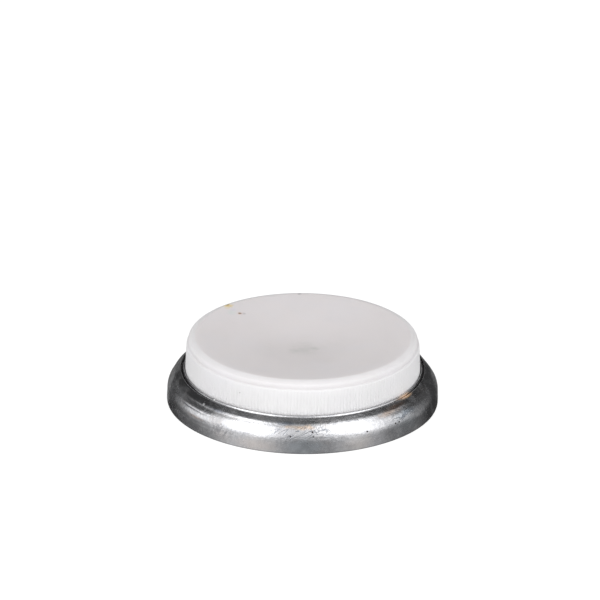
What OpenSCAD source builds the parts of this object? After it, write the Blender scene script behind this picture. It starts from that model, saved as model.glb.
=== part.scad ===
// Round cap with a dished top and a finely ribbed wall, standing in a pressed
// metal collar ring. Both pieces stand on z = 0, the origin is the middle of
// the foot, and every profile below is drawn as radius against height.

/* [Cap] */
// Height of the cap, from its foot to the crest of its rim
cap_h = 26.2; // [23:0.1:34]
// Diameter of the plain inner wall, which goes over the neck
bore_d = 87; // [72:0.1:102]
// Height up to which the inner wall is plain, below a thicker band
plain_h = 19.2; // [12:0.1:19.6]
// How far that band stands in from the plain wall
band_step = 0.7; // [0.5:0.05:1]
// Thickness of the wall under the ribs
wall_t = 1.2; // [0.9:0.05:1.6]
// Thickness of the dished top panel
top_t = 1.8; // [1.2:0.1:2.6]
// Fall of the dish towards its middle, in degrees
dish_slope = 6; // [2:0.5:7]
// Radius of the soft bend in the middle of the dish
dish_bend = 76; // [30:1:120]

/* [Rim] */
// Width of the rim, from the edge of the dish to the shoulder band
rim_w = 4.2; // [3:0.1:5]
// Radius of the rounded outer edge of the rim
rim_round = 1.7; // [1:0.1:2.4]
// Fall of the rim towards its outer edge, in degrees
rim_slope = 8; // [2:1:15]
// How far the plain shoulder band is set in from the wall under the ribs
shoulder_step = 0.35; // [0.1:0.05:0.5]
// Radius of the rounded corner inside, between the thicker band and the top
corner_round = 1.2; // [0.6:0.1:2]
// Lead-in at the mouth of the cap
mouth_chamfer = 0.4; // [0.2:0.05:0.6]

/* [Ribs] */
// Number of ribs round the wall
rib_count = 220; // [180:4:232]
// Height of a rib above the wall, at the level of the collar's lip
rib_depth = 0.7; // [0.4:0.05:0.9]
// Inward lean of the ribs' crests towards the top, in degrees
rib_draft = 2.6; // [1:0.1:3]
// Distance from the crest of the rim down to the upper end of the ribs
rib_drop = 3; // [2.6:0.1:5]
// Share of the pitch that a rib takes up at its root
rib_root_share = 0.74; // [0.6:0.02:0.84]
// Share of the pitch that a rib takes up at its crest
rib_crest_share = 0.34; // [0.2:0.02:0.5]

/* [Collar ring] */
// How far the ring's skirt stands out from the mouth of its lip
collar_w = 6.5; // [5.5:0.1:7.7]
// Height of the ring, from its foot to the top of its rolled lip
ring_h = 13.2; // [12:0.1:16]
// Thickness of the sheet that the ring is pressed from
sheet_t = 0.6; // [0.4:0.05:0.8]
// How far the bead at the foot stands out from the skirt
foot_flare = 0.3; // [0.1:0.05:0.5]
// Radius of the bead at the foot
foot_round = 0.65; // [0.45:0.05:0.8]
// Outer radius of the bend from the skirt into the shoulder
skirt_bend = 4.9; // [3:0.1:6]
// Lean of the lower shoulder from upright, in degrees
lower_lean = 30; // [24:1:34]
// Length of the straight lower shoulder
lower_run = 3.05; // [2:0.05:4]
// Outer radius of the bend between the lower and the upper shoulder
upper_bend = 5.8; // [4:0.1:8]
// Lean of the upper shoulder from upright, in degrees
upper_lean = 50; // [44:1:56]
// Radius of the rolled bead along the lip
lip_round = 0.42; // [0.35:0.01:0.5]
// Radius of the crest where the shoulder ends beside the lip
crest_round = 0.5; // [0.3:0.05:0.7]
// How far the crest lies below the top of the lip bead
crest_low = 0.3; // [0.1:0.05:0.4]
// Depth of the groove between crest and bead, below the top of the bead
groove_depth = 0.65; // [0.5:0.05:0.8]
// How far the turned-down lip reaches below the top of its bead
lip_drop = 2.4; // [1.6:0.1:3]

/* [Fits] */
// Gap between the ribs and the collar's lip
lip_gap = 0.3; // [0.15:0.05:0.6]
// Gap between the cap's seat ledge and the lip that rests above it
seat_gap = 0.15; // [0.1:0.05:0.4]
// How far the seat ledge reaches out under the lip
seat_reach = 0.5; // [0.3:0.05:0.8]
// Thickness of the seat ledge at its edge
seat_t = 0.8; // [0.5:0.1:1.2]

/* [Hidden] */
$fn = 220;
// Overlap that lets one solid bite into the next
bite = 0.3;
// Steps in a small rounded corner of a profile
round_steps = 8;

bore_r = bore_d/2;
band_r = bore_r - band_step;
wall_r = bore_r + wall_t;
rib_r = wall_r + rib_depth;
shoulder_r = wall_r - shoulder_step;
lip_r = rib_r + lip_gap;
lip_low = ring_h - lip_drop;

// The seat ledge lies just under the turned-down lip, on a 45 degree cone
seat_z = lip_low - seat_gap;
seat_r = lip_r + seat_reach;
seat_low = seat_z - seat_t;

// The rim: a rounded outer edge, then a land that rises to the dish
dish_r = shoulder_r - rim_w;
round_end = 90 - rim_slope;
round_r = shoulder_r - rim_round;
land_r = round_r + rim_round*cos(round_end);
land_z = cap_h - (land_r - dish_r)*tan(rim_slope);
round_z = land_z - rim_round*sin(round_end);

// The dish falls evenly from the crest of the rim, then bends level in the middle
bend_r = dish_bend*sin(dish_slope);
bend_z = cap_h - (dish_r - bend_r)*tan(dish_slope);
dish_centre = [0, bend_z + dish_bend*cos(dish_slope)];
dish_start = dish_slope - 90;
ceiling_z = cap_h - top_t;
ceiling_r = dish_r + (top_t/cos(dish_slope) - top_t)/tan(dish_slope);

rib_top = cap_h - rib_drop;
rib_low = seat_z - bite;
rib_pitch = 360/rib_count;

// The ring's sheet, followed along its outer face from the lip to the foot
bead = [lip_r + lip_round, ring_h - lip_round];
groove_z = ring_h - groove_depth;
crest = [bead[0] + lip_round + crest_round, ring_h - crest_low - crest_round];
slope_end = crest + crest_round*[cos(upper_lean), sin(upper_lean)];
skirt_r = lip_r + collar_w;
foot_r = skirt_r + foot_flare - foot_round;
bend_in = skirt_bend*(1 - cos(lower_lean));
bend_up = skirt_bend*sin(lower_lean);
lower_in = lower_run*sin(lower_lean);
lower_up = lower_run*cos(lower_lean);
upper_in = upper_bend*(cos(lower_lean) - cos(upper_lean));
upper_up = upper_bend*(sin(upper_lean) - sin(lower_lean));
upper_run = (skirt_r - bend_in - lower_in - upper_in - slope_end[0])/sin(upper_lean);
skirt_top = slope_end[1] - upper_run*cos(upper_lean) - upper_up - lower_up - bend_up;

// Points of an arc about a centre, from one angle to another
function arc(centre, radius, from, to) = [
    for (i = [0 : round_steps])
        let (a = from + (to - from)*i/round_steps)
            centre + radius*[cos(a), sin(a)]
];

// Radius of the rib crests at a height
function crest_at(z) = rib_r - (z - ring_h)*tan(rib_draft);

// Outline of the cap's outer form, with its seat ledge, rounded rim and dish
module cap_outside() {
    polygon(concat(
        [[0, 0], [wall_r, 0]],
        [[wall_r, seat_low - (seat_r - wall_r)], [seat_r, seat_low]],
        [[seat_r, seat_z], [wall_r, seat_z]],
        [[wall_r, rib_top], [shoulder_r, rib_top + shoulder_step]],
        arc([round_r, round_z], rim_round, 0, round_end),
        [[dish_r, cap_h]],
        arc(dish_centre, dish_bend, dish_start, -90)
    ));
}

// Outline of the hollow under the cap, with its ceiling parallel to the dish
module cap_hollow() {
    polygon(concat(
        [[0, -bite], [bore_r + mouth_chamfer + bite, -bite], [bore_r, mouth_chamfer]],
        [[bore_r, plain_h], [band_r, plain_h + band_step]],
        arc([band_r - corner_round, ceiling_z - corner_round], corner_round, 0, 90),
        [[ceiling_r, ceiling_z]],
        arc(dish_centre, dish_bend + top_t, dish_start, -90)
    ));
}

// Outline of the ribs across, wider at the root than at the crest
module rib_outline() {
    root_half = rib_root_share*rib_pitch/2;
    crest_half = rib_crest_share*rib_pitch/2;
    deep = wall_r - bite/2;
    high = crest_at(rib_low) + bite;
    rib = [[deep, -root_half], [high, -crest_half], [high, crest_half], [deep, root_half]];
    difference() {
        polygon([
            for (i = [0 : rib_count - 1])
                for (p = rib)
                    p[0]*[cos(i*rib_pitch + p[1]), sin(i*rib_pitch + p[1])]
        ]);
        circle(r = wall_r - bite);
    }
}

// The ribs, trimmed to a cone that leans in and to sloping upper ends
module ribs() {
    core_r = wall_r - 2*bite;
    below = rib_low - bite;
    bevel_low = rib_top - bite;
    bevel_high = rib_top + bite/2;
    intersection() {
        translate([0, 0, rib_low]) linear_extrude(rib_top + bite - rib_low) rib_outline();
        rotate_extrude() polygon([
            [core_r, below], [crest_at(below), below], [crest_at(bevel_low), bevel_low],
            [wall_r - bite/2, bevel_high], [core_r, bevel_high]
        ]);
    }
}

module plastic_cap() {
    color("whitesmoke") union() {
        rotate_extrude() difference() {
            cap_outside();
            cap_hollow();
        }
        ribs();
    }
}

// Outline of the pressed sheet: skirt, shoulder, crest, groove, lip and back again
module ring_sheet() {
    skirt_c = [skirt_r - skirt_bend, skirt_top];
    lower_end = [skirt_r - bend_in - lower_in, skirt_top + bend_up + lower_up];
    upper_c = lower_end - upper_bend*[cos(lower_lean), sin(lower_lean)];
    under = slope_end - sheet_t*[cos(upper_lean), sin(upper_lean)];
    web_low = groove_z - sheet_t;
    groove_turn = acos((groove_z - crest[1])/crest_round);
    bead_turn = asin((groove_z - bead[1])/lip_round);
    polygon(concat(
        [[skirt_r - sheet_t, foot_round], [skirt_r, foot_round]],
        arc(skirt_c, skirt_bend, 0, lower_lean),
        arc(upper_c, upper_bend, lower_lean, upper_lean),
        arc(crest, crest_round, upper_lean, 90 + groove_turn),
        arc(bead, lip_round, bead_turn, 180),
        [[lip_r, lip_low], [lip_r + sheet_t, lip_low], [lip_r + sheet_t, web_low]],
        [[under[0] + (under[1] - web_low)*tan(upper_lean), web_low]],
        arc(upper_c, upper_bend - sheet_t, upper_lean, lower_lean),
        arc(skirt_c, skirt_bend - sheet_t, lower_lean, 0)
    ));
}

module metal_ring() {
    color("silver") rotate_extrude() union() {
        ring_sheet();
        translate([foot_r, foot_round]) circle(r = foot_round);
    }
}

plastic_cap();
metal_ring();
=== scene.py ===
import math

import bpy
import numpy as np
from mathutils import Matrix, Vector


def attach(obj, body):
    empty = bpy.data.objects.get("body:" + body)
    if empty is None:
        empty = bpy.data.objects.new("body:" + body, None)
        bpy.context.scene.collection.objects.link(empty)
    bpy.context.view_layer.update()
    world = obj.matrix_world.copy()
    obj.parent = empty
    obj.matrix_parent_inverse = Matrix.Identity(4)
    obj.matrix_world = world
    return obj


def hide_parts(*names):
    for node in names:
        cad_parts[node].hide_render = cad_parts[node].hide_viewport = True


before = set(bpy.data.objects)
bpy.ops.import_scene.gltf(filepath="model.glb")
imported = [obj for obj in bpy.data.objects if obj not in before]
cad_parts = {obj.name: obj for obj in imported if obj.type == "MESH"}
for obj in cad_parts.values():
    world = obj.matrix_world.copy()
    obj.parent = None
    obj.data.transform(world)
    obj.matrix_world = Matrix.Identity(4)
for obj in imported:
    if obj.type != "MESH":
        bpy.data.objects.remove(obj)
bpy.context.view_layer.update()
print("frame loaded:", ", ".join(sorted(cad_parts)))

mm = 0.001  # shapes below are written in millimetres and go into the meshes in metres


# 0 below the low edge, 1 above the high edge, 3t^2 - 2t^3 between them.
def smoothStep(low, high, value):
    t = np.clip((value - low) / (high - low), 0, 1)
    return t * t * (3 - 2 * t)


# Corners (radius, height, fillet) become a path. A fillet is an arc tangent to both sides of
# its corner: its ends lie fillet / tan(half the angle) away, and its points are the weighted
# sum of the two end directions with weights sin((1-t)w) and sin(tw), over sin(w).
def roundedPath(corners, steps=6):
    corners = np.array(corners, float)
    path = [corners[0, :2]]
    for before, corner, after in zip(corners[:-2], corners[1:-1], corners[2:]):
        here, fillet = corner[:2], corner[2]
        if fillet == 0:
            path.append(here)
            continue
        back = (before[:2] - here) / np.linalg.norm(before[:2] - here)
        ahead = (after[:2] - here) / np.linalg.norm(after[:2] - here)
        half = np.arccos(np.clip(back @ ahead, -1, 1)) / 2
        centre = here + (back + ahead) / np.linalg.norm(back + ahead) * fillet / np.sin(half)
        reach = fillet / np.tan(half)
        start, end = here + back * reach - centre, here + ahead * reach - centre
        sweep = np.pi - 2 * half
        t = np.linspace(0, 1, steps)
        weights = np.stack([np.sin((1 - t) * sweep), np.sin(t * sweep)]) / np.sin(sweep)
        path.extend(centre + weights.T @ np.stack([start, end]))
    path.append(corners[-1, :2])
    return np.array(path)


# A circular arc from one angle to another, in degrees from the outward direction.
def arcPath(centre, radius, start, end, steps=8):
    turn = np.radians(np.linspace(start, end, steps))
    return np.stack([centre[0] + radius * np.cos(turn), centre[1] + radius * np.sin(turn)], 1)


# The same path with points added on its straights, so that none is longer than the limit.
def spread(path, longest):
    pieces = []
    for start, end in zip(path[:-1], path[1:]):
        count = max(1, math.ceil(np.linalg.norm(end - start) / longest - 1e-6))
        partWay = np.arange(count)[:, None] / count
        pieces.append(start + (end - start) * partWay)
    return np.concatenate(pieces + [path[-1:]])


# A point of a turned surface: (radius sin a, -radius cos a, height), so a = 0 faces the camera.
def turned(radius, height, angle):
    radius, height, angle = np.broadcast_arrays(radius, height, angle)
    return np.stack([radius * np.sin(angle), -radius * np.cos(angle), height], -1)


# Quads between the rows of a grid whose vertex (i, j) has the number first + i * columns + j.
# The columns close round the axis, and the rows close too if the section is a loop.
def gridFaces(rows, columns, first=0, closed=False):
    i = np.arange(rows if closed else rows - 1)[:, None]
    j = np.arange(columns)[None, :]
    nextRow, nextColumn = (i + 1) % rows, (j + 1) % columns
    here, above = i * columns, nextRow * columns
    corners = [here + j, here + nextColumn, above + nextColumn, above + j]
    return np.stack(corners, -1).reshape(-1, 4) + first


# Triangles from a ring of vertices to one pole.
def poleFaces(firstOfRing, columns, pole, flip):
    j = np.arange(columns)
    faces = np.stack([firstOfRing + j, firstOfRing + (j + 1) % columns, np.full(columns, pole)], -1)
    return faces[:, ::-1] if flip else faces


# Triangles between a fine ring and a coarse one with a quarter of its vertices.
def stitchFaces(firstFine, firstCoarse, columns, flip):
    j = np.arange(columns)
    fine = [firstFine + (4 * j + k) % (4 * columns) for k in range(5)]
    low, high = firstCoarse + j, firstCoarse + (j + 1) % columns
    parts = [
        (fine[0], fine[1], low), (fine[1], fine[2], low), (fine[2], high, low),
        (fine[2], fine[3], high), (fine[3], fine[4], high),
    ]
    faces = np.concatenate([np.stack(part, -1) for part in parts])
    return faces[:, ::-1] if flip else faces


# Points and faces become a mesh object at the origin. Its signed volume is the sum of
# a . (b x c) / 6 over its triangles. Where it is negative the faces point inwards, and are
# turned round.
def makePiece(name, points, faceSets, material):
    points = points.reshape(-1, 3) * mm
    volume = 0
    for faces in faceSets:
        for k in range(1, faces.shape[1] - 1):
            a, b, c = points[faces[:, 0]], points[faces[:, k]], points[faces[:, k + 1]]
            volume += np.einsum("ij,ij->", a, np.cross(b, c)) / 6
    if volume < 0:
        faceSets = [faces[:, ::-1] for faces in faceSets]
    loops = np.concatenate([faces.ravel() for faces in faceSets])
    sizes = np.concatenate([np.full(len(faces), faces.shape[1]) for faces in faceSets])
    mesh = bpy.data.meshes.new(name)
    mesh.vertices.add(len(points))
    mesh.vertices.foreach_set("co", points.ravel())
    mesh.loops.add(len(loops))
    mesh.loops.foreach_set("vertex_index", loops.astype(np.int32))
    mesh.polygons.add(len(sizes))
    mesh.polygons.foreach_set("loop_start", (np.cumsum(sizes) - sizes).astype(np.int32))
    mesh.polygons.foreach_set("use_smooth", np.ones(len(sizes), bool))
    mesh.update(calc_edges=True)
    mesh.validate()
    mesh.materials.append(material)
    piece = bpy.data.objects.new(name, mesh)
    bpy.context.scene.collection.objects.link(piece)
    print(f"{name}: {len(points)} points, {len(sizes)} faces, {abs(volume) * 1e9:.0f} mm3")
    return piece


# One node with its settings. An input is a plain value or another node's output socket.
def put(tree, kind, inputs=None, **settings):
    node = tree.nodes.new(kind)
    for key, value in settings.items():
        setattr(node, key, value)
    for key, value in (inputs or {}).items():
        if isinstance(value, bpy.types.NodeSocket):
            tree.links.new(value, node.inputs[key])
        else:
            node.inputs[key].default_value = value
    return node


def maths(tree, operation, *values, clamp=False):
    inputs = dict(enumerate(values))
    return put(tree, "ShaderNodeMath", inputs, operation=operation, use_clamp=clamp).outputs[0]


def noiseAt(tree, position, scale, detail, **more):
    inputs = {"Vector": position, "Scale": scale, "Detail": detail, **more}
    return put(tree, "ShaderNodeTexNoise", inputs).outputs["Fac"]


def newMaterial(name):
    material = bpy.data.materials.new(name)
    material.use_nodes = True
    material.node_tree.nodes.clear()
    return material, material.node_tree


# A node group with its input sockets as (name, kind, default) and one output value.
def newGroup(name, sockets, result):
    tree = bpy.data.node_groups.new(name, "ShaderNodeTree")
    for key, kind, value in sockets:
        socket = tree.interface.new_socket(key, in_out="INPUT", socket_type="NodeSocket" + kind)
        socket.default_value = value
    tree.interface.new_socket(result, in_out="OUTPUT", socket_type="NodeSocketFloat")
    inputs = tree.nodes.new("NodeGroupInput").outputs
    return tree, inputs, tree.nodes.new("NodeGroupOutput").inputs[0]


# A value carried from one range to another along 3t^2 - 2t^3, held at both ends.
def ramp(tree, value, low, high, start=0.0, end=1.0):
    return put(tree, "ShaderNodeMapRange", {
        "Value": value, "From Min": low, "From Max": high, "To Min": start, "To Max": end,
    }, interpolation_type="SMOOTHSTEP").outputs["Result"]


groupForm = {
    "edgeDetail": 3.0,  # octaves of the noise that shifts the edge of a mark
    "dotCore": 0.4,  # share of a dot's radius that is fully covered
    "lineDetail": 2.0,
    "lineBend": 0.6,
    "gateScale": 0.35,  # scale of the coarse noise, against the noise that draws the lines
    "gateDetail": 1.0,
    "gateEdge": 0.08,
    "cloudBend": 0.4,
}

# Mask of one local mark: 1 inside a turned ellipsoid and 0 outside, its edge shifted by noise.
spotMark, sockets, result = newGroup("spotMark", [
    ("Position", "Vector", (0, 0, 0)), ("Centre", "Vector", (0, 0, 0)),
    ("Turn", "Vector", (0, 0, 0)), ("Size", "Vector", (1, 1, 1)),
    ("Softness", "Float", 0.5), ("Ragged", "Float", 0.3), ("Grain", "Float", 900.0),
], "Mask")
local = put(spotMark, "ShaderNodeMapping", {
    "Vector": sockets["Position"], "Location": sockets["Centre"], "Rotation": sockets["Turn"],
    "Scale": sockets["Size"]}, vector_type="TEXTURE").outputs[0]
distance = put(spotMark, "ShaderNodeVectorMath", {0: local}, operation="LENGTH").outputs["Value"]
edgeNoise = noiseAt(spotMark, sockets["Position"], sockets["Grain"], groupForm["edgeDetail"])
edgeShift = maths(spotMark, "SUBTRACT", edgeNoise, 0.5)
shifted = maths(spotMark, "MULTIPLY_ADD", edgeShift, sockets["Ragged"], distance)
coreEnd = maths(spotMark, "SUBTRACT", 1.0, sockets["Softness"])
spotMark.links.new(ramp(spotMark, shifted, coreEnd, 1.0, 1.0, 0.0), result)

# Mask of small dots: near the middle of a Voronoi cell, in the share of cells that has one.
fineDots, sockets, result = newGroup("fineDots", [
    ("Position", "Vector", (0, 0, 0)), ("Scale", "Float", 300.0), ("Size", "Float", 0.15),
    ("Share", "Float", 0.1),
], "Mask")
cells = put(fineDots, "ShaderNodeTexVoronoi", {
    "Vector": sockets["Position"], "Scale": sockets["Scale"]}).outputs
cellValue = put(fineDots, "ShaderNodeSeparateColor", {0: cells["Color"]}).outputs[0]
chosen = maths(fineDots, "LESS_THAN", cellValue, sockets["Share"])
dotCore = maths(fineDots, "MULTIPLY", sockets["Size"], groupForm["dotCore"])
inside = ramp(fineDots, cells["Distance"], dotCore, sockets["Size"], 1.0, 0.0)
fineDots.links.new(maths(fineDots, "MULTIPLY", chosen, inside), result)

# Mask of hair scratches: the contour lines of a noise, kept where a coarse noise is above the
# gate. The noise is turned and then stretched, and Stretch gives its lengths along the axes.
hairScratches, sockets, result = newGroup("hairScratches", [
    ("Position", "Vector", (0, 0, 0)), ("Turn", "Vector", (0, 0, 0)),
    ("Stretch", "Vector", (1, 1, 1)), ("Scale", "Float", 300.0), ("Width", "Float", 0.03),
    ("Gate", "Float", 0.5),
], "Mask")
stretched = put(hairScratches, "ShaderNodeMapping", {
    "Vector": sockets["Position"], "Rotation": sockets["Turn"], "Scale": sockets["Stretch"]},
    vector_type="TEXTURE").outputs[0]
lines = noiseAt(
    hairScratches, stretched, sockets["Scale"], groupForm["lineDetail"],
    Distortion=groupForm["lineBend"])
offLine = maths(hairScratches, "ABSOLUTE", maths(hairScratches, "SUBTRACT", lines, 0.5))
thin = ramp(hairScratches, offLine, 0.0, sockets["Width"], 1.0, 0.0)
gateScale = maths(hairScratches, "MULTIPLY", sockets["Scale"], groupForm["gateScale"])
gateNoise = noiseAt(hairScratches, sockets["Position"], gateScale, groupForm["gateDetail"])
gateEnd = maths(hairScratches, "ADD", sockets["Gate"], groupForm["gateEdge"])
kept = ramp(hairScratches, gateNoise, sockets["Gate"], gateEnd)
hairScratches.links.new(maths(hairScratches, "MULTIPLY", thin, kept), result)

# Mask of cloudy patches: a noise of several octaves, carried from its low to its high level.
softPatches, sockets, result = newGroup("softPatches", [
    ("Position", "Vector", (0, 0, 0)), ("Scale", "Float", 60.0), ("Detail", "Float", 4.0),
    ("Low", "Float", 0.4), ("High", "Float", 0.6),
], "Mask")
cloud = noiseAt(
    softPatches, sockets["Position"], sockets["Scale"], sockets["Detail"],
    Distortion=groupForm["cloudBend"])
softPatches.links.new(ramp(softPatches, cloud, sockets["Low"], sockets["High"]), result)
print("effects built")


def effect(tree, group, position, values):
    inputs = {"Position": position, **values}
    return put(tree, "ShaderNodeGroup", inputs, node_tree=group).outputs["Mask"]


# Mask of a mark on a turned piece: its place as azimuth in degrees (0 towards the camera),
# radius and height, then its half lengths along the round and up it. It is as deep as it is
# long.
def markAt(
        tree, position, azimuth, radius, height, along, up, softness=0.6, ragged=0.3, grain=900.0):
    turn = math.radians(azimuth)
    return effect(tree, spotMark, position, {
        "Centre": Vector(turned(radius, height, turn)) * mm, "Turn": (0, 0, turn),
        "Size": (along * mm, max(along, up) * mm, up * mm),
        "Softness": softness, "Ragged": ragged, "Grain": grain})


# Masks by name, from the tables of a look. Patterns and noises say which of the places they
# are laid on, and spots are marks with the values of markAt in its order.
def buildMasks(tree, places, look):
    masks = {}
    for name, (group, where, inputs) in look["patterns"].items():
        masks[name] = effect(tree, group, places[where], inputs)
    for name, (where, scale, detail, more) in look["noises"].items():
        masks[name] = noiseAt(tree, places[where], scale, detail, **more)
    for name, spot in look["spots"].items():
        masks[name] = markAt(tree, places["object"], *spot)
    return masks


# A base value plus the sum of the named masks, each times its weight.
def weigh(tree, base, masks, weights):
    total = base
    for name, weight in weights.items():
        total = maths(tree, "MULTIPLY_ADD", masks[name], weight, total)
    return total


# The colour with a tone mixed in by mask times strength.
def layTone(tree, colour, mask, strength, tone):
    factor = maths(tree, "MULTIPLY", mask, strength)
    inputs = {"Factor": factor, "A": colour, "B": (*tone, 1)}
    return put(tree, "ShaderNodeMix", inputs, data_type="RGBA").outputs["Result"]


def layTones(tree, colour, masks, tones):
    for name, strength, tone in tones:
        colour = layTone(tree, colour, masks[name], strength, tone)
    return colour


def layMarks(tree, colour, position, marks, grain):
    for place, along, up, softness, ragged, tone, strength in marks:
        mark = markAt(tree, position, *place, along, up, softness, ragged, grain)
        colour = layTone(tree, colour, mark, strength, tone)
    return colour


def axisDistance(tree, position):
    flat = put(tree, "ShaderNodeVectorMath", {0: position, 1: (1, 1, 0)}, operation="MULTIPLY")
    length = put(tree, "ShaderNodeVectorMath", {0: flat.outputs[0]}, operation="LENGTH")
    return length.outputs["Value"]


# A place that changes slowly round the axis, for marks that run round it: the distance from
# the axis, the height, and a small share of x + y.
def roundPlace(tree, position, share):
    axes = put(tree, "ShaderNodeSeparateXYZ", {0: position}).outputs
    along = maths(tree, "MULTIPLY", maths(tree, "ADD", axes["X"], axes["Y"]), share)
    inputs = {0: axisDistance(tree, position), 1: axes["Z"], 2: along}
    return put(tree, "ShaderNodeCombineXYZ", inputs).outputs[0]


# The surface shader. Roughness and relief are weighted sums of masks, the relief in millimetres.
def addSurface(tree, masks, look, inputs):
    relief = weigh(tree, 0.0, masks, look["reliefBy"])
    bump = put(tree, "ShaderNodeBump", {"Height": relief, "Distance": mm})
    roughness = weigh(tree, look["roughness"], masks, look["roughnessBy"])
    shader = put(tree, "ShaderNodeBsdfPrincipled", {
        "Roughness": roughness, "Normal": bump.outputs[0], **look["shader"], **inputs})
    put(tree, "ShaderNodeOutputMaterial", {0: shader.outputs[0]})


# Marks on the cap: place (azimuth, radius, height), half lengths along and up, softness,
# raggedness, colour and strength.
capMarks = [
    ((-134.5, 41.3, 26.0), 2.7, 1.1, 0.9, 1.2, (0.94, 0.66, 0.20), 0.8),
    ((-135.0, 41.9, 25.95), 0.95, 0.6, 0.8, 0.8, (0.16, 0.13, 0.03), 0.9),
    ((-132.0, 39.8, 26.1), 1.6, 0.9, 1.0, 1.0, (0.88, 0.74, 0.55), 0.5),
    ((-132.8, 33.7, 25.5), 1.9, 1.3, 1.0, 0.9, (0.88, 0.66, 0.58), 0.45),
    ((-132.8, 33.7, 25.5), 1.0, 0.9, 0.9, 0.8, (0.26, 0.14, 0.07), 0.9),
    ((-134.8, 32.6, 25.4), 1.3, 0.5, 1.0, 0.5, (0.45, 0.43, 0.44), 0.5),
    ((-129.5, 36.3, 25.8), 3.2, 2.0, 1.0, 0.8, (0.70, 0.80, 0.78), 0.35),
    ((-133.5, 37.5, 25.9), 2.0, 1.4, 1.0, 0.8, (0.76, 0.74, 0.88), 0.35),
    ((-177.8, 41.3, 26.05), 1.3, 0.45, 1.0, 0.6, (0.30, 0.30, 0.31), 0.75),
    ((-31.8, 45.1, 19.1), 0.4, 0.4, 0.9, 0.4, (0.25, 0.23, 0.22), 0.7),
]

# A zone is two ramps in metres, over the distance from the axis and over the height. A ramp
# that ends in 1, 0 falls. Tones are (mask, strength, colour), laid in their order.
plasticLook = {
    "wall": (0.835, 0.828, 0.838),
    "zones": {
        # painted light: the whole top is laid in a lighter, pinker copy of the wall's plastic
        "top": ((0.0432, 0.0444, 1, 0), (0.0190, 0.0210)),
        # painted highlight: the rim's land, from just outside the dish, is laid lighter still
        "edge": ((0.0412, 0.0422), (0.0228, 0.0240)),
        # painted shade: the rim's outer round and the shoulder band are laid darker than the wall
        "shoulder": ((0.0432, 0.0440), (0.0226, 0.0236)),
        # painted shade: the wall down inside the ring's lip is laid nearly black
        "gapShade": ((0.0440, 0.0446), (0.0123, 0.0128, 1, 0)),
    },
    "patterns": {
        "hazes": (softPatches, "object", {"Scale": 45.0, "Low": 0.42, "High": 0.68}),
        "smudges": (softPatches, "object", {
            "Scale": 110.0, "Detail": 5.0, "Low": 0.5, "High": 0.72}),
        "rubs": (hairScratches, "object", {
            "Scale": 160.0, "Stretch": (1, 5.5, 1), "Turn": (0, 0, 0.5), "Width": 0.02,
            "Gate": 0.5}),
        "dust": (fineDots, "object", {"Scale": 420.0, "Size": 0.12, "Share": 0.03}),
    },
    "noises": {
        "grain": ("object", 2200.0, 2.0, {}),
        "flow": ("object", 70.0, 2.0, {}),
    },
    "spots": {
        # painted shade: these four dark patches in the dish's middle stand in for the shade on its
        # flat middle
        "dishShadeWide": (5, 5.0, 22.6, 27.0, 9.0, 1.0, 0.5, 90.0),
        "dishShadeCore": (12, 4.2, 22.5, 8.0, 2.4, 1.0, 1.7, 240.0),
        "dishShadeArm": (-24, 7.2, 22.7, 4.0, 1.8, 1.0, 1.3, 260.0),
        "dishShadeTail": (50, 6.0, 22.6, 3.0, 1.6, 1.0, 0.9, 300.0),
    },
    # the dark tone below mixes real dirt from smudges, rubs and dust with the painted shade of the
    # dish's middle
    "grimeAndShadeBy": {
        "smudges": 0.05, "rubs": 0.05, "dust": 0.25, "dishShadeWide": 0.36, "dishShadeCore": 0.46,
        "dishShadeArm": 0.35, "dishShadeTail": 0.5,
    },
    "tones": [
        # painted light: a lighter copy of the wall's plastic over the top
        ("top", 1.0, (0.905, 0.842, 0.848)),
        # painted highlight on the rim's land
        ("edge", 1.0, (0.925, 0.893, 0.905)),
        # painted shade on the rim's outer round and the shoulder band
        ("shoulder", 1.0, (0.805, 0.785, 0.795)),
        ("hazes", 0.22, (0.845, 0.83, 0.885)),
        # painted shade in the gap inside the ring's lip
        ("gapShade", 1.0, (0.02, 0.02, 0.02)),
        # real dirt and the painted shade of the dish's middle, in one tone
        ("grimeAndShade", 1.0, (0.72, 0.70, 0.69)),
    ],
    "markGrain": 1100.0,
    "roughness": 0.52,
    "roughnessBy": {"top": 0.08, "smudges": -0.08, "rubs": 0.10, "hazes": 0.05, "dust": 0.2},
    "reliefBy": {"grain": 0.012, "flow": 0.06, "rubs": -0.006, "dust": 0.01},
    "shader": {
        "IOR": 1.49, "Specular IOR Level": 0.35, "Subsurface Weight": 1.0,
        "Subsurface Radius": (1.0, 1.0, 1.0), "Subsurface Scale": 0.0025,
    },
}

whitePlastic, tree = newMaterial("whitePlastic")
position = put(tree, "ShaderNodeTexCoord").outputs["Object"]
masks = buildMasks(tree, {"object": position}, plasticLook)
fromAxis = axisDistance(tree, position)
heightUp = put(tree, "ShaderNodeSeparateXYZ", {0: position}).outputs["Z"]
for name, (across, upward) in plasticLook["zones"].items():
    masks[name] = maths(
        tree, "MULTIPLY", ramp(tree, fromAxis, *across), ramp(tree, heightUp, *upward))
# real dirt plus the painted shade in the dish's middle
masks["grimeAndShade"] = weigh(tree, 0.0, masks, plasticLook["grimeAndShadeBy"])
colour = layTones(tree, (*plasticLook["wall"], 1), masks, plasticLook["tones"])
colour = layMarks(tree, colour, position, capMarks, plasticLook["markGrain"])
addSurface(tree, masks, plasticLook, {"Base Color": colour})
print("material: white plastic")
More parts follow.
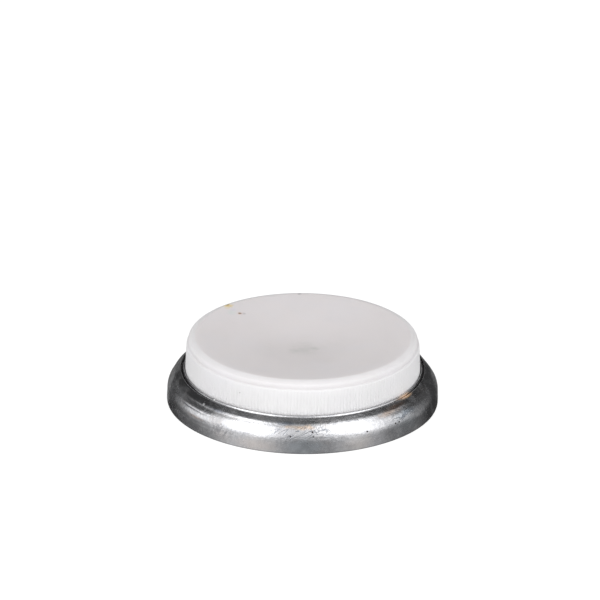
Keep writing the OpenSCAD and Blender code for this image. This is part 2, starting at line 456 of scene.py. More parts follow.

# Coloured marks on the ring, in the same form as on the cap; three of them are painted reflection.
ringTints = [
    ((-19.5, 52.2, 2.5), 13, 4.5, 1.0, 0.6, (0.86, 0.80, 0.77), 0.8),
    ((24, 52.2, 2.5), 10, 4.5, 1.0, 0.6, (0.80, 0.75, 0.72), 0.7),
    ((1, 52.0, 3.0), 11, 5.0, 0.8, 0.6, (0.70, 0.75, 0.80), 0.8),
    ((50, 51.0, 5.0), 9, 5.0, 1.0, 0.7, (0.66, 0.71, 0.75), 0.6),
    ((51, 51.0, 9.0), 7, 1.8, 1.0, 0.9, (0.70, 0.80, 0.90), 0.6),
    ((-36, 52.2, 3.4), 8, 3.6, 1.0, 0.7, (0.78, 0.74, 0.73), 0.6),
    ((57.5, 47.2, 12.7), 5.5, 0.7, 0.9, 0.4, (0.88, 0.46, 0.12), 0.95),
    ((56, 46.3, 12.9), 6.0, 0.6, 0.8, 0.5, (0.95, 0.74, 0.58), 0.95),
    # painted reflection: this pale warm patch, the brown one below and the orange band after it
    # stand in for a warm thing in the room reflected in the upper shoulder
    ((42, 49.5, 10.9), 8.0, 1.5, 1.0, 1.2, (0.86, 0.71, 0.62), 0.95),
    ((48, 48.6, 11.8), 7.0, 1.0, 1.0, 0.9, (0.56, 0.40, 0.32), 0.9),
    ((0, 49.9, 10.2), 9.5, 1.1, 1.0, 1.8, (0.88, 0.68, 0.52), 0.85),
    ((-41, 49.5, 11.1), 6.0, 0.8, 1.0, 0.6, (0.40, 0.43, 0.50), 0.75),
    ((-7, 49.0, 11.2), 7.0, 1.0, 1.0, 1.0, (0.42, 0.47, 0.55), 0.75),
    ((-52, 51.6, 6.0), 7.0, 0.8, 0.9, 0.6, (0.84, 0.72, 0.66), 0.6),
    ((-57, 51.0, 8.25), 8.0, 0.28, 0.8, 0.3, (0.36, 0.36, 0.40), 0.8),
]
pitPlaces = [
    (28.5, 51.87, 6.8), (4.8, 51.76, 7.05), (4.5, 50.9, 8.6), (43.2, 51.85, 6.8),
    (45.2, 51.8, 6.9), (-4.9, 51.7, 7.1),
]

# The tones are laid in two lots, one under the coloured marks and one over them.
metalLook = {
    "bright": (0.78, 0.78, 0.80),
    "roundShare": 0.03,
    "wispShare": 0.16,
    "patterns": {
        "dull": (softPatches, "object", {"Scale": 85.0, "Detail": 6.0, "Low": 0.46, "High": 0.66}),
        "stains": (softPatches, "object", {
            "Scale": 150.0, "Detail": 5.0, "Low": 0.52, "High": 0.7}),
        "film": (softPatches, "object", {"Scale": 260.0, "Detail": 7.0, "Low": 0.46, "High": 0.7}),
        "longLines": (hairScratches, "round", {
            "Scale": 420.0, "Stretch": (1, 1, 1.7), "Width": 0.02, "Gate": 0.46}),
        "crossLines": (hairScratches, "object", {
            "Scale": 640.0, "Stretch": (4.5, 1, 1), "Turn": (0, -0.55, 0.05), "Width": 0.06,
            "Gate": 0.40}),
        "backLines": (hairScratches, "object", {
            "Scale": 700.0, "Stretch": (4.5, 1, 1), "Turn": (0, -0.25, 0.85), "Width": 0.055,
            "Gate": 0.40}),
        "slantLines": (hairScratches, "object", {
            "Scale": 400.0, "Stretch": (4.0, 1, 1), "Turn": (0, -1.1, -0.63), "Width": 0.09,
            "Gate": 0.30}),
        "pits": (fineDots, "object", {"Scale": 520.0, "Size": 0.22, "Share": 0.03}),
        "bigPits": (fineDots, "object", {"Scale": 200.0, "Size": 0.10, "Share": 0.05}),
    },
    "noises": {
        "turning": ("round", 1700.0, 3.0, {}),
        "mottle": ("object", 900.0, 4.0, {"Roughness": 0.65}),
        "ripple": ("object", 190.0, 2.0, {}),
        "wisps": ("wisp", 900.0, 3.0, {"Distortion": 0.5}),
    },
    "spots": {
        "scuffed": (1, 51.0, 8.3, 15.0, 2.9, 0.7, 0.8, 200.0),
        "scuffedLeft": (-43, 51.0, 9.3, 6.0, 2.0, 0.9, 0.8, 200.0),
        "scuffedRight": (48, 51.0, 8.4, 9.0, 2.6, 0.9, 0.8, 200.0),
        "slantArea": (-36, 52.2, 4.6, 8.5, 3.2, 0.8, 0.6, 300.0),
        "paleSpot": (-49.8, 49.2, 11.2, 0.8, 0.65, 0.8, 0.2),
        "rust": (57, 46.9, 12.8, 6.0, 0.7, 0.9, 0.5, 420.0),
        "paleDot": (-46.5, 46.2, 13.1, 0.45, 0.4, 0.5, 0.2),
    },
    "scuffLeast": 0.12,  # share of the scratches that shows outside the scuffed areas
    "crossBy": {"scuffed": 0.88, "scuffedLeft": 0.4},
    "backBy": {"scuffedRight": 0.88},
    "holesBy": {"pits": 0.6, "bigPits": 0.8},
    "pitForm": (0.52, 0.44, 0.5),  # half lengths along and up, and softness
    "mottleRange": (0.42, 0.62),
    # painted shade: the groove between the bead and the shoulder, and the inside of the lip, are
    # laid nearly black
    "grooveInner": (0.04635, 0.0466),  # metres from the axis, as the two below
    "grooveOuter": (0.0471, 0.0473, 1, 0),
    "lipInside": (0.04582, 0.04594, 1, 0),
    "tonesUnder": [
        ("dull", 1.0, (0.65, 0.65, 0.675)),
        ("stains", 0.35, (0.50, 0.45, 0.42)),
        ("mottled", 0.5, (0.56, 0.57, 0.60)),
        # painted shade in the groove and inside the lip
        ("groove", 0.9, (0.10, 0.09, 0.09)),
    ],
    "tonesOver": [
        ("scuffs", 0.8, (0.22, 0.25, 0.30)),
        ("strokes", 0.75, (0.34, 0.34, 0.36)),
        ("holes", 1.0, (0.06, 0.05, 0.05)),
        ("paleDot", 1.0, (0.9, 0.9, 0.9)),
    ],
    "markGrain": 420.0,
    "metallicBy": {"paleDot": -1.0, "film": -0.07, "rust": -0.55},
    "roughness": 0.10,
    "roughnessBy": {
        "dull": 0.12, "stains": 0.10, "turning": 0.10, "longLines": 0.12, "scuffs": 0.15,
        "strokes": 0.15, "holes": 0.05, "paleSpot": 0.4,
    },
    "reliefBy": {
        "turning": 0.008, "wisps": 0.035, "mottle": 0.07, "ripple": 0.11, "longLines": -0.004,
        "scuffs": -0.04, "strokes": -0.03, "paleSpot": 0.02,
    },
    "shader": {},
}

wornMetal, tree = newMaterial("wornMetal")
position = put(tree, "ShaderNodeTexCoord").outputs["Object"]
masks = buildMasks(tree, {
    "object": position, "round": roundPlace(tree, position, metalLook["roundShare"]),
    "wisp": roundPlace(tree, position, metalLook["wispShare"])}, metalLook)
crossShare = weigh(tree, metalLook["scuffLeast"], masks, metalLook["crossBy"])
backShare = weigh(tree, metalLook["scuffLeast"], masks, metalLook["backBy"])
masks["scuffs"] = maths(
    tree, "MAXIMUM", maths(tree, "MULTIPLY", masks["crossLines"], crossShare),
    maths(tree, "MULTIPLY", masks["backLines"], backShare))
masks["strokes"] = maths(tree, "MULTIPLY", masks["slantLines"], masks["slantArea"])
masks["mottled"] = ramp(tree, masks["mottle"], *metalLook["mottleRange"])
fromAxis = axisDistance(tree, position)
# painted shade in the groove and on the inside of the lip
groove = maths(
    tree, "MULTIPLY", ramp(tree, fromAxis, *metalLook["grooveInner"]),
    ramp(tree, fromAxis, *metalLook["grooveOuter"]))
masks["groove"] = maths(tree, "MAXIMUM", groove, ramp(tree, fromAxis, *metalLook["lipInside"]))
holes = weigh(tree, 0.0, masks, metalLook["holesBy"])
for place in pitPlaces:
    holes = maths(
        tree, "MAXIMUM", holes, markAt(tree, position, *place, *metalLook["pitForm"]))
masks["holes"] = holes
colour = layTones(tree, (*metalLook["bright"], 1), masks, metalLook["tonesUnder"])
colour = layMarks(tree, colour, position, ringTints, metalLook["markGrain"])
colour = layTones(tree, colour, masks, metalLook["tonesOver"])
metallic = weigh(tree, 1.0, masks, metalLook["metallicBy"])
addSurface(tree, masks, metalLook, {"Base Color": colour, "Metallic": metallic})
print("material: worn metal")


# Millimetres, unless a note says otherwise.
capShape = {
    "height": 26.2,
    "boreRadius": 43.5,
    "wallRadius": 44.7,
    "shoulderRadius": 44.35,
    "rimRadius": 41.5,  # where the slopes of the dish and of the rim meet
    "dishSlope": 6.0,  # degrees
    "dishBend": 76.0,
    "topThickness": 1.8,
    "rimSlope": 18.0,  # degrees
    "rimBend": 3.0,
    "rimRound": 1.3,
    "shoulderHeight": 23.55,
    "shoulderOverlap": 0.2,  # how far above the shoulder's height the top's grid ends
    "ceilingInset": 1.0,
    "mouthChamfer": 0.4,
    "seatHeight": 10.65,
    "seatRadius": 46.2,
    "seatThickness": 0.8,
    "seatStart": 0.3,  # how far inside the seat's edge the lower skin starts
    "ribCount": 220,
    "ribRadius": 45.4,  # at the height of the ring's lip
    "ribRadiusHeight": 13.2,
    "ribDraft": 2.6,  # degrees
    "ribTop": 23.2,
    "ribFade": (-0.5, 0.25),  # where the ribs fade out, from ribTop
    "ledgeEnd": -0.45,  # where the wall under the ribs reaches its full radius, from ribTop
    "ribCrest": 0.08,  # in pitches from the middle of a rib
    "ribRoot": 0.47,
    "ribFill": 0.77,  # share of a rib's height that the roots between the ribs are filled up to
    "plainHeight": 19.2,
    "bandRadius": 42.8,
    "threadDepth": 0.9,
    "threadPitch": 5.0,
    "threadTurns": 1.3,
    "threadStart": 5.2,
    "threadHalfWidth": 1.1,
    "threadFlat": 0.3,  # share of the half width that stands at the full depth
    "threadFade": 0.03,  # in turns
    "columnsPerRib": 2,  # of the coarse grids, a quarter of the fine grid's in the next line
    "ribColumns": (0, 0.19, 0.31, 0.4, 0.5, 0.6, 0.69, 0.81),  # in pitches
    "fadeRows": (0.07, -0.11, 10),  # start above shoulderHeight, step and count
    "wallRows": (-1.2, 8),  # start above shoulderHeight, and count down to the seat
    "topStep": 2.5,
    "insideStep": 3.0,
    "threadStep": 0.35,
}


# Height of a rib above the wall: the draft's straight line less the wall, faded out round
# ribTop, times a section that falls from 1 on the crest to ribFill at the root, since the
# roots are filled up to that share.
def ribHeight(shape, height, phase):
    lean = (height - shape["ribRadiusHeight"]) * math.tan(math.radians(shape["ribDraft"]))
    proud = shape["ribRadius"] - lean - shape["wallRadius"]
    fadeFrom, fadeTo = shape["ribFade"]
    fade = 1 - smoothStep(shape["ribTop"] + fadeFrom, shape["ribTop"] + fadeTo, height)
    section = 1 - smoothStep(shape["ribCrest"], shape["ribRoot"], np.abs(phase))
    return proud * fade * (shape["ribFill"] + (1 - shape["ribFill"]) * section)


# Height of the jar thread above the inner wall: a rounded ridge along a helix, whose middle
# rises by one pitch a turn, faded at both of its ends. It runs over any place at most twice.
def threadHeight(shape, height, angle):
    turns = (angle / (2 * np.pi)) % 1
    fade = shape["threadFade"]
    ridge = np.zeros(np.broadcast(height, angle).shape)
    for run in (turns, turns + 1):
        middle = shape["threadStart"] + shape["threadPitch"] * run
        away = np.abs(height - middle) / shape["threadHalfWidth"]
        section = 1 - smoothStep(shape["threadFlat"], 1, away)
        ends = smoothStep(0, fade, run) * smoothStep(0, fade, shape["threadTurns"] - run)
        ridge = np.maximum(ridge, section * ends)
    return shape["threadDepth"] * ridge


# The cap is one closed skin: a turned top, the ribbed wall on a four times finer grid, and a
# turned foot and inside. The fine grid is stitched to the coarse ones. The corner between dish
# and rim lies above the cap's height by what its arc takes off, so the arc ends at that height.
# The rows inside lie close together only where the thread is.
def buildCap(shape, material):
    top, wall, shoulder = shape["height"], shape["wallRadius"], shape["shoulderRadius"]
    rise, fall = math.radians(shape["dishSlope"]), math.radians(shape["rimSlope"])
    slope = math.tan(rise)
    bend = shape["dishBend"] * math.tan(rise / 2)
    cut = 1 - math.cos(rise) - math.tan((rise + fall) / 2) * math.sin(rise)
    crest = top - shape["rimBend"] * cut
    floor = crest - (shape["rimRadius"] - bend) * slope
    rimCorner = crest - (shoulder - shape["rimRadius"]) * math.tan(fall)
    thick = shape["topThickness"]
    underBend = (shape["dishBend"] + thick) * math.tan(rise / 2)
    underEdge = shape["rimRadius"] - shape["ceilingInset"] + thick * (1 / math.cos(rise) - 1) / slope
    bore, band, plain = shape["boreRadius"], shape["bandRadius"], shape["plainHeight"]
    slack = 0.01  # two radii closer than this are the same
    seat, seatRadius, chamfer = shape["seatHeight"], shape["seatRadius"], shape["mouthChamfer"]
    seatLow = seat - shape["seatThickness"]
    topEnd = shape["shoulderHeight"] + shape["shoulderOverlap"]
    threadLow = shape["threadStart"] - shape["threadHalfWidth"]
    threadRise = shape["threadPitch"] * shape["threadTurns"]
    threadHigh = shape["threadStart"] + threadRise + shape["threadHalfWidth"]

    outer = roundedPath([
        (0, floor, 0), (bend, floor, shape["dishBend"]),
        (shape["rimRadius"], crest, shape["rimBend"]),
        (shoulder, rimCorner, shape["rimRound"]), (shoulder, topEnd, 0),
    ], steps=8)
    outer = spread(outer, shape["topStep"])[1:]
    inner = roundedPath([
        (seatRadius - shape["seatStart"], seat, 0), (seatRadius, seat, 0.12),
        (seatRadius, seatLow, 0.12), (wall, seatLow - (seatRadius - wall), 0.4),
        (wall, 0, 0.25), (bore + chamfer, 0, 0.12), (bore, chamfer, 0.15),
        (bore, threadLow, 0), (bore, threadHigh, 0), (bore, plain, 0.2),
        (band, plain + bore - band, 0.3),
        (band, top - thick, 1.2), (underEdge, top - thick, 0.8),
        (underBend, floor - thick, shape["dishBend"] + thick), (0, floor - thick, 0),
    ])
    onInside = inner[:, 0] <= bore + slack
    below, above = inner[:, 1] < threadLow - slack, inner[:, 1] > threadHigh + slack
    inner = np.concatenate([spread(inner[part], step) for part, step in (
        (~onInside, shape["insideStep"]), (onInside & below, shape["insideStep"]),
        (onInside & ~below & ~above, shape["threadStep"]),
        (onInside & above, shape["insideStep"]),
    )])[:-1]

    columns = shape["columnsPerRib"] * shape["ribCount"]
    pitch = 2 * np.pi / shape["ribCount"]
    angles = np.arange(columns) * pitch / shape["columnsPerRib"]
    phases = np.array(shape["ribColumns"])
    ribAngles = ((np.arange(shape["ribCount"])[:, None] + phases) * pitch).ravel()
    ribPhases = np.tile((phases + 0.5) % 1 - 0.5, shape["ribCount"])
    fadeStart, fadeStep, fadeCount = shape["fadeRows"]
    wallStart, wallCount = shape["wallRows"]
    heights = np.concatenate([
        np.arange(fadeCount) * fadeStep + shape["shoulderHeight"] + fadeStart,
        np.linspace(shape["shoulderHeight"] + wallStart, seat, wallCount),
    ])[:, None]
    ledgeEnd = shape["ribTop"] + shape["ledgeEnd"]
    ledge = (wall - shoulder) * smoothStep(shape["shoulderHeight"], ledgeEnd, heights)
    ribRadii = shoulder + ledge + ribHeight(shape, heights, ribPhases)

    thread = threadHeight(shape, inner[:, 1:], angles) * (np.abs(inner[:, :1] - bore) < slack)
    topPoints = turned(outer[:, :1], outer[:, 1:], angles)
    ribPoints = turned(ribRadii, heights, ribAngles)
    innerPoints = turned(inner[:, :1] - thread, inner[:, 1:], angles)
    poles = np.array([[0, 0, floor], [0, 0, floor - thick]])
    parts = (topPoints, ribPoints, innerPoints, poles)
    points = np.concatenate([part.reshape(-1, 3) for part in parts])

    ribFirst = len(outer) * columns
    innerFirst = ribFirst + ribRadii.size
    topPole = innerFirst + len(inner) * columns
    lastOuter = ribFirst - columns
    lastRib = innerFirst - 4 * columns
    lastInner = topPole - columns
    faceSets = [
        gridFaces(len(outer), columns),
        gridFaces(len(heights), 4 * columns, ribFirst),
        gridFaces(len(inner), columns, innerFirst),
        stitchFaces(ribFirst, lastOuter, columns, flip=True),
        stitchFaces(lastRib, innerFirst, columns, flip=False),
        poleFaces(0, columns, topPole, flip=True),
        poleFaces(lastInner, columns, topPole + 1, flip=False),
    ]
    return makePiece("ribbedCap", points, faceSets, material)


ribbedCap = buildCap(capShape, whitePlastic)
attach(ribbedCap, "root")
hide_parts("plastic_cap")


# Millimetres, unless a note says otherwise.
ringShape = {
    "lipRadius": 45.7,
    "height": 13.2,
    "sheet": 0.6,
    "beadRound": 0.3,
    "beadLean": 27.0,  # degrees from upright, of the bead's outer side
    "beadSide": 0.6,
    "sideRunout": 0.05,  # how far the bead's outer side runs out below it
    "crestRound": 0.18,
    "slopeEnd": (1.66, 0.42),  # where the shoulder ends, out from the lip and below its top
    "grooveDepth": 1.0,
    "lipDrop": 2.4,
    "collarWidth": 6.58,
    "footFlare": 0.1,
    "flareTop": 4.4,
    "flareRows": 12,
    "flareEnd": 0.1,  # how far above the curl's middle the flare ends
    "footRound": 0.65,
    "footTurn": -215,  # degrees, where the curl along the foot ends
    "curlGap": 0.05,  # how far inside the inner face the curl meets it
    "footEnd": 1.0,  # how far above the curl's middle the inner face is straight again
    "skirtBend": 4.9,
    "lowerLean": 30.0,  # degrees from upright
    "lowerRun": 3.05,
    "upperBend": 5.8,
    "upperLean": 50.0,  # degrees from upright
    "waves": ((0.03, 3, 1.1), (0.02, 7, 0.4)),  # height, waves in a turn, and phase
    "waveFade": (1.0, 4.0),  # heights over which the waves grow to their full size
    "dentFade": (0.9, 2.0),  # from the lip outwards, the same for waves and dents
    "columns": 480,
    "longestStep": 0.4,
}

# Dents as (azimuth in degrees, height, half width round the ring, half height, depth), with
# the azimuth 0 towards the camera and 90 to its right, and the rest in millimetres. A dent
# with a negative depth is a bulge.
ringDents = [
    (-36, 10.5, 24.0, 0.65, 0.20),
    (-55, 8.8, 13.6, 0.8, -0.20),
    (-41, 6.1, 21.8, 2.4, 0.41),
    (-77, 9.8, 4.0, 1.4, 0.45),
    (6, 6.2, 24.0, 1.8, 0.32),
    (21, 2.6, 6.3, 1.8, -0.25),
    (50, 10.5, 24.0, 0.9, 0.17),
    (56, 8.9, 14.9, 1.9, -0.30),
    (107, 10.6, 6.0, 1.5, 0.42),
    (98, 7.5, 5.0, 2.5, -0.04),
    (-115, 11.4, 8.0, 1.5, 0.25),
    (158, 6.0, 9.0, 4.0, 0.15),
    (66, 2.3, 18.0, 5.0, -0.42),
    (-68, 2.3, 20.0, 5.0, -0.25),
]


# Inward shift of the sheet: slow sine waves round the ring, which fade towards the foot, plus
# for each dent its depth times exp(-(way round / half width)^2 - (way up / half height)^2).
# All of it fades towards the lip.
def dentDepth(shape, dents, radius, angle, height):
    depth = sum(size * np.sin(count * angle + phase) for size, count, phase in shape["waves"])
    depth = depth * smoothStep(*shape["waveFade"], height)
    for azimuth, middle, width, tall, deep in dents:
        away = (angle - math.radians(azimuth) + np.pi) % (2 * np.pi) - np.pi
        sideways, upwards = away * radius / width, (height - middle) / tall
        depth = depth + deep * np.exp(-sideways ** 2 - upwards ** 2)
    fadeFrom, fadeTo = shape["dentFade"]
    return depth * smoothStep(shape["lipRadius"] + fadeFrom, shape["lipRadius"] + fadeTo, radius)


# The section follows the sheet's outer face from the lip to the foot, round the curled foot,
# and back along the inner face one sheet thickness away.
def ringSection(shape):
    lower, upper = shape["lowerLean"], shape["upperLean"]
    cosLow, sinLow = math.cos(math.radians(lower)), math.sin(math.radians(lower))
    cosUp, sinUp = math.cos(math.radians(upper)), math.sin(math.radians(upper))
    lip, top, sheet = shape["lipRadius"], shape["height"], shape["sheet"]
    bead = np.array([lip + shape["beadRound"], top - shape["beadRound"]])
    lean = math.radians(shape["beadLean"])
    beadFoot = bead + shape["beadRound"] * np.array([math.cos(lean), math.sin(lean)])
    beadFoot = beadFoot + shape["beadSide"] * np.array([math.sin(lean), -math.cos(lean)])
    groove = top - shape["grooveDepth"]
    slopeEnd = np.array([lip + shape["slopeEnd"][0], top - shape["slopeEnd"][1]])
    crest = slopeEnd - shape["crestRound"] * np.array([cosUp, sinUp])
    skirt = lip + shape["collarWidth"]
    bendIn, bendUp = shape["skirtBend"] * (1 - cosLow), shape["skirtBend"] * sinLow
    lowerIn, lowerUp = shape["lowerRun"] * sinLow, shape["lowerRun"] * cosLow
    upperIn = shape["upperBend"] * (cosLow - cosUp)
    upperUp = shape["upperBend"] * (sinUp - sinLow)
    upperRun = (skirt - bendIn - lowerIn - upperIn - slopeEnd[0]) / sinUp
    skirtTop = slopeEnd[1] - upperRun * cosUp - upperUp - lowerUp - bendUp
    skirtCentre = (skirt - shape["skirtBend"], skirtTop)
    lowerEnd = np.array([skirt - bendIn - lowerIn, skirtTop + bendUp + lowerUp])
    upperCentre = lowerEnd - shape["upperBend"] * np.array([cosLow, sinLow])
    under = slopeEnd - sheet * np.array([cosUp, sinUp])
    webLow = groove - sheet
    foot = (skirt + shape["footFlare"] - shape["footRound"], shape["footRound"])
    curl = shape["footRound"] - sheet / 2
    flareTop = shape["flareTop"]
    flareHeights = np.linspace(flareTop, foot[1] + shape["flareEnd"], shape["flareRows"])
    flare = skirt + shape["footFlare"] * (1 - smoothStep(foot[1], flareTop, flareHeights))
    return np.concatenate([
        [[lip, top - shape["lipDrop"]]],
        arcPath(bead, shape["beadRound"], 180, shape["beadLean"], 10),
        [beadFoot, [beadFoot[0] + shape["sideRunout"], groove]],
        [[crest[0] - shape["crestRound"], groove]],
        arcPath(crest, shape["crestRound"], 180, upper, 8),
        arcPath(upperCentre, shape["upperBend"], upper, lower, 8),
        arcPath(skirtCentre, shape["skirtBend"], lower, 0, 10),
        np.stack([flare, flareHeights], 1),
        arcPath(foot, shape["footRound"], 0, shape["footTurn"], 22),
        [[skirt - sheet - shape["curlGap"], foot[1] + curl]],
        [[skirt - sheet, foot[1] + shape["footEnd"]]],
        arcPath(skirtCentre, shape["skirtBend"] - sheet, 0, lower, 8),
        arcPath(upperCentre, shape["upperBend"] - sheet, lower, upper, 8),
        [[under[0] + (under[1] - webLow) * sinUp / cosUp, webLow]],
        [[lip + sheet, webLow], [lip + sheet, top - shape["lipDrop"]]],
    ])


# The section turned round the axis, closed in both directions, less the dents.
def buildRing(shape, dents, material):
    section = ringSection(shape)
    section = spread(np.concatenate([section, section[:1]]), shape["longestStep"])[:-1]
    angles = np.arange(shape["columns"]) * 2 * np.pi / shape["columns"]
    radius, height = section[:, :1], section[:, 1:]
    points = turned(radius - dentDepth(shape, dents, radius, angles, height), height, angles)
    faces = gridFaces(len(section), shape["columns"], closed=True)
    return makePiece("collarRing", points, [faces], material)


collarRing = buildRing(ringShape, ringDents, wornMetal)
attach(collarRing, "root")
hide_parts("metal_ring")


studio = {
    "rearLight": 0.040,  # brightness of the surroundings where no panel shines
    "panelEdge": 2.5,  # power in a panel's falloff, higher for a sharper edge
    "shellRadius": 4.0,  # metres
    "shellRows": 46,
    "shellTop": 89.9,  # degrees, just short of the pole
    "columns": 180,
    "floorRadius": 3.5,  # metres
    "footRows": (0.01, 30, 46, 50, 52, 52.5, 53, 53.5, 54),  # millimetres from the axis
    "outerStart": 55,
    "outerRows": 60,
    "floorShade": 0.45,
    "floorWhite": 0.78,
    "mirrorHeight": 6.0,  # height on the skirt that the rays to the floor leave from
    "mirrorReach": 13.0,  # distance below which those rays get no steeper
    "footGlow": 0.5,  # share of the floor's glow that is left at the skirt
    "footFade": 1.0,
    "ambient": 0.745,
    "lamps": {"leftLamp": -47, "rightLamp": 42},  # azimuths in degrees
    "lampElevation": 13,
    "lampDistance": 1.2,
    "lampSize": (0.9, 0.6),
    "lampPower": 7.4,
}

# Soft panels as (azimuth, elevation, half width, half height, strength), angles in degrees
# and the azimuth 0 towards the camera. The metal and the gloss of the plastic reflect them.
panels = [
    (-46, 27, 29, 20, 2.21),
    (37, 32, 38, 23, 1.61),
    (-47, -9, 34, 52, 0.57),
    (37, -30, 53, 37, 0.26),
    (53, 10, 22, 38, 0.43),
    (-89, 8, 24, 8, 1.03),
    (87, 19, 13, 15, 0.73),
    (-95, -11, 37, 14, 0.25),
    (109, -5, 19, 20, 0.21),
    (48, 48, 19, 17, 0.54),
    (-49, 73, 72, 17, 0.12),
    (-174, -18, 8, 12, 0.22),
    (-166, -2, 7, 11, 0.22),
]


# Light from a direction: the rear light plus, for each panel, its strength times
# exp(-|azimuth difference / half width|^edge - |elevation difference / half height|^edge).
def studioLight(azimuth, elevation):
    edge = studio["panelEdge"]
    light = np.full(np.broadcast(azimuth, elevation).shape, studio["rearLight"])
    for middle, height, wide, tall, strength in panels:
        sideways = np.abs((azimuth - middle + 180) % 360 - 180) / wide
        upwards = np.abs(elevation - height) / tall
        light = light + strength * np.exp(-sideways ** edge - upwards ** edge)
    return light


def glowOf(tree):
    return put(tree, "ShaderNodeAttribute", attribute_name="glow").outputs["Fac"]


# 1 for the rays that see the picture's background, which are camera and transmission rays.
def backgroundRays(tree, rays):
    return maths(tree, "ADD", rays["Is Camera Ray"], rays["Is Transmission Ray"], clamp=True)


shellLight, tree = newMaterial("shellLight")
glow = put(tree, "ShaderNodeEmission", {"Strength": glowOf(tree)})
put(tree, "ShaderNodeOutputMaterial", {0: glow.outputs[0]})
shellLight.cycles.emission_sampling = "NONE"

# The floor is white with a shadow for camera rays, holds the studio's light for glossy rays,
# and is clear from below.
paleFloor, tree = newMaterial("paleFloor")
rays = put(tree, "ShaderNodeLightPath").outputs
white = maths(tree, "MULTIPLY", backgroundRays(tree, rays), studio["floorWhite"])
shaded = put(tree, "ShaderNodeAddShader", {
    0: put(tree, "ShaderNodeBsdfDiffuse", {"Color": (studio["floorShade"],) * 3 + (1,)}).outputs[0],
    1: put(tree, "ShaderNodeEmission", {"Strength": white}).outputs[0],
})
mirrored = put(tree, "ShaderNodeEmission", {"Strength": glowOf(tree)})
fromAbove = put(tree, "ShaderNodeMixShader", {
    0: rays["Is Glossy Ray"], 1: shaded.outputs[0], 2: mirrored.outputs[0]})
clear = put(tree, "ShaderNodeBsdfTransparent")
below = put(tree, "ShaderNodeNewGeometry").outputs["Backfacing"]
bothSides = put(tree, "ShaderNodeMixShader", {
    0: below, 1: fromAbove.outputs[0], 2: clear.outputs[0]})
put(tree, "ShaderNodeOutputMaterial", {0: bothSides.outputs[0]})
paleFloor.cycles.emission_sampling = "NONE"


# A stage surface on a polar grid, with its light kept in the attribute "glow".
def buildStage(name, points, glow, material):
    rows, columns = points.shape[:2]
    piece = makePiece(name, points, [gridFaces(rows, columns)], material)
    attribute = piece.data.attributes.new("glow", "FLOAT", "POINT")
    attribute.data.foreach_set("value", glow.ravel().astype(np.float32))
    return piece


# The shell is a dome round the studio that only glossy rays see.
elevations = np.linspace(0, studio["shellTop"], studio["shellRows"])[:, None]
azimuths = np.arange(studio["columns"])[None, :] * 360 / studio["columns"]
shellRadius = studio["shellRadius"] / mm
rise = np.radians(elevations)
dome = turned(shellRadius * np.cos(rise), shellRadius * np.sin(rise), np.radians(azimuths))
studioShell = buildStage("studioShell", dome, studioLight(azimuths, elevations), shellLight)
for kind in ("camera", "diffuse", "shadow", "transmission", "volume_scatter"):
    setattr(studioShell, "visible_" + kind, False)

# The floor's light for glossy rays is the studio's below the horizon. A ray that leaves the
# skirt at azimuth a runs on at 2a, which gives the ray's azimuth at each place on the floor,
# and its elevation is the slope down from the skirt. The glow fades close to the foot.
skirtRadius = ringShape["lipRadius"] + ringShape["collarWidth"]
outerRows = np.geomspace(studio["outerStart"], studio["floorRadius"] / mm, studio["outerRows"])
distances = np.concatenate([studio["footRows"], outerRows])[:, None]
fromSkirt = np.maximum(distances - skirtRadius, 0)
placeAzimuth = (azimuths + 180) % 360 - 180
rayAzimuth = 2 * placeAzimuth * (skirtRadius + fromSkirt) / (skirtRadius + 2 * fromSkirt)
rayFall = np.arctan(studio["mirrorHeight"] / np.maximum(fromSkirt, studio["mirrorReach"]))
floorGlow = studioLight(np.clip(rayAzimuth, -180, 180), -np.degrees(rayFall))
fade = studio["footGlow"] + (1 - studio["footGlow"]) * smoothStep(0, studio["footFade"], fromSkirt)
disc = turned(distances, np.zeros_like(distances), np.radians(azimuths))
floorDisc = buildStage("floorDisc", disc, floorGlow * fade, paleFloor)
if floorDisc.data.polygons[0].normal.z < 0:
    floorDisc.data.flip_normals()

# The lamps light the object, and the metal reflects the panels in their place.
elevation = math.radians(studio["lampElevation"])
for name, azimuth in studio["lamps"].items():
    lamp = bpy.data.lights.new(name, "AREA")
    lamp.shape, lamp.energy = "RECTANGLE", studio["lampPower"]
    lamp.size, lamp.size_y = studio["lampSize"]
    holder = bpy.data.objects.new(name, lamp)
    towards = Vector(turned(math.cos(elevation), math.sin(elevation), math.radians(azimuth)))
    holder.location = towards * studio["lampDistance"]
    holder.rotation_euler = holder.location.to_track_quat("Z", "Y").to_euler()
    holder.visible_glossy = False
    holder.visible_camera = False
    bpy.context.scene.collection.objects.link(holder)

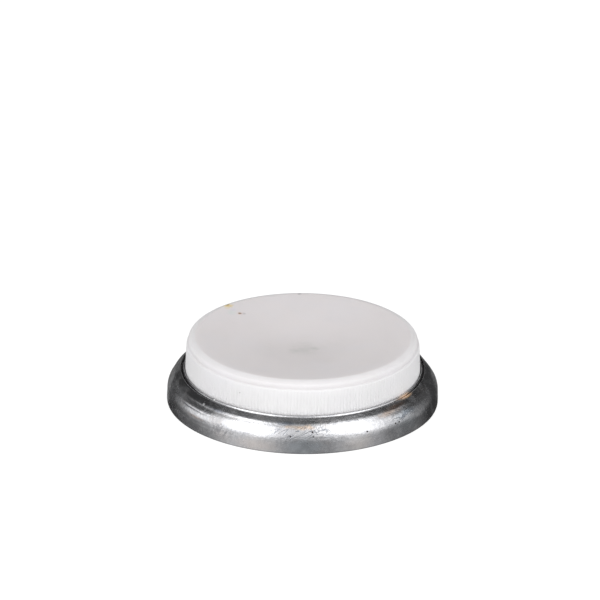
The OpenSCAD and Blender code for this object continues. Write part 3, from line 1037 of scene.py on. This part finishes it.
# The world is white where it is the background, and a plain level for all other rays.
world = bpy.data.worlds.new("studioWorld")
bpy.context.scene.world = world
world.use_nodes = True
tree = world.node_tree
tree.nodes.clear()
seen = backgroundRays(tree, put(tree, "ShaderNodeLightPath").outputs)
level = put(tree, "ShaderNodeMix", {
    "Factor": seen, "A": studio["ambient"], "B": 1.0}, data_type="FLOAT").outputs[0]
background = put(tree, "ShaderNodeBackground", {"Strength": level})
put(tree, "ShaderNodeOutputWorld", {0: background.outputs[0]})
print("studio set")


view = {
    "lens": 300.0,
    "sensor": 36.0,
    "distance": 1.939,  # metres
    "elevation": 24.28,  # degrees
    "roll": 0.614,  # degrees, the right side of the picture hangs lower
    "footPixel": (302.4, 397.7),  # where the middle of the foot falls in the picture
    "pixels": 600,
    "clip": (0.05, 20.0),  # metres
}


# The camera looks at the middle of the foot and rolls, then turns by the small angle that
# brings that point to its pixel.
def addCamera(view):
    data = bpy.data.cameras.new("photoView")
    data.lens, data.sensor_width = view["lens"], view["sensor"]
    data.clip_start, data.clip_end = view["clip"]
    camera = bpy.data.objects.new("photoView", data)
    bpy.context.scene.collection.objects.link(camera)
    bpy.context.scene.camera = camera
    rise, roll = math.radians(view["elevation"]), math.radians(view["roll"])
    back = Vector((0, -math.cos(rise), math.sin(rise)))
    right, up = Vector((1, 0, 0)), Vector((0, math.sin(rise), math.cos(rise)))
    rolledRight = math.cos(roll) * right + math.sin(roll) * up
    rolledUp = -math.sin(roll) * right + math.cos(roll) * up
    look = Matrix((rolledRight, rolledUp, back)).transposed()
    focal = view["lens"] / view["sensor"] * view["pixels"]
    across = (view["footPixel"][0] - view["pixels"] / 2) / focal
    down = (view["footPixel"][1] - view["pixels"] / 2) / focal
    aim = Vector((0, 0, -1)).rotation_difference(Vector((across, -down, -1)))
    turn = look @ aim.to_matrix().inverted()
    camera.matrix_world = Matrix.Translation(back * view["distance"]) @ turn.to_4x4()


addCamera(view)
bpy.context.scene.view_settings.view_transform = "Standard"
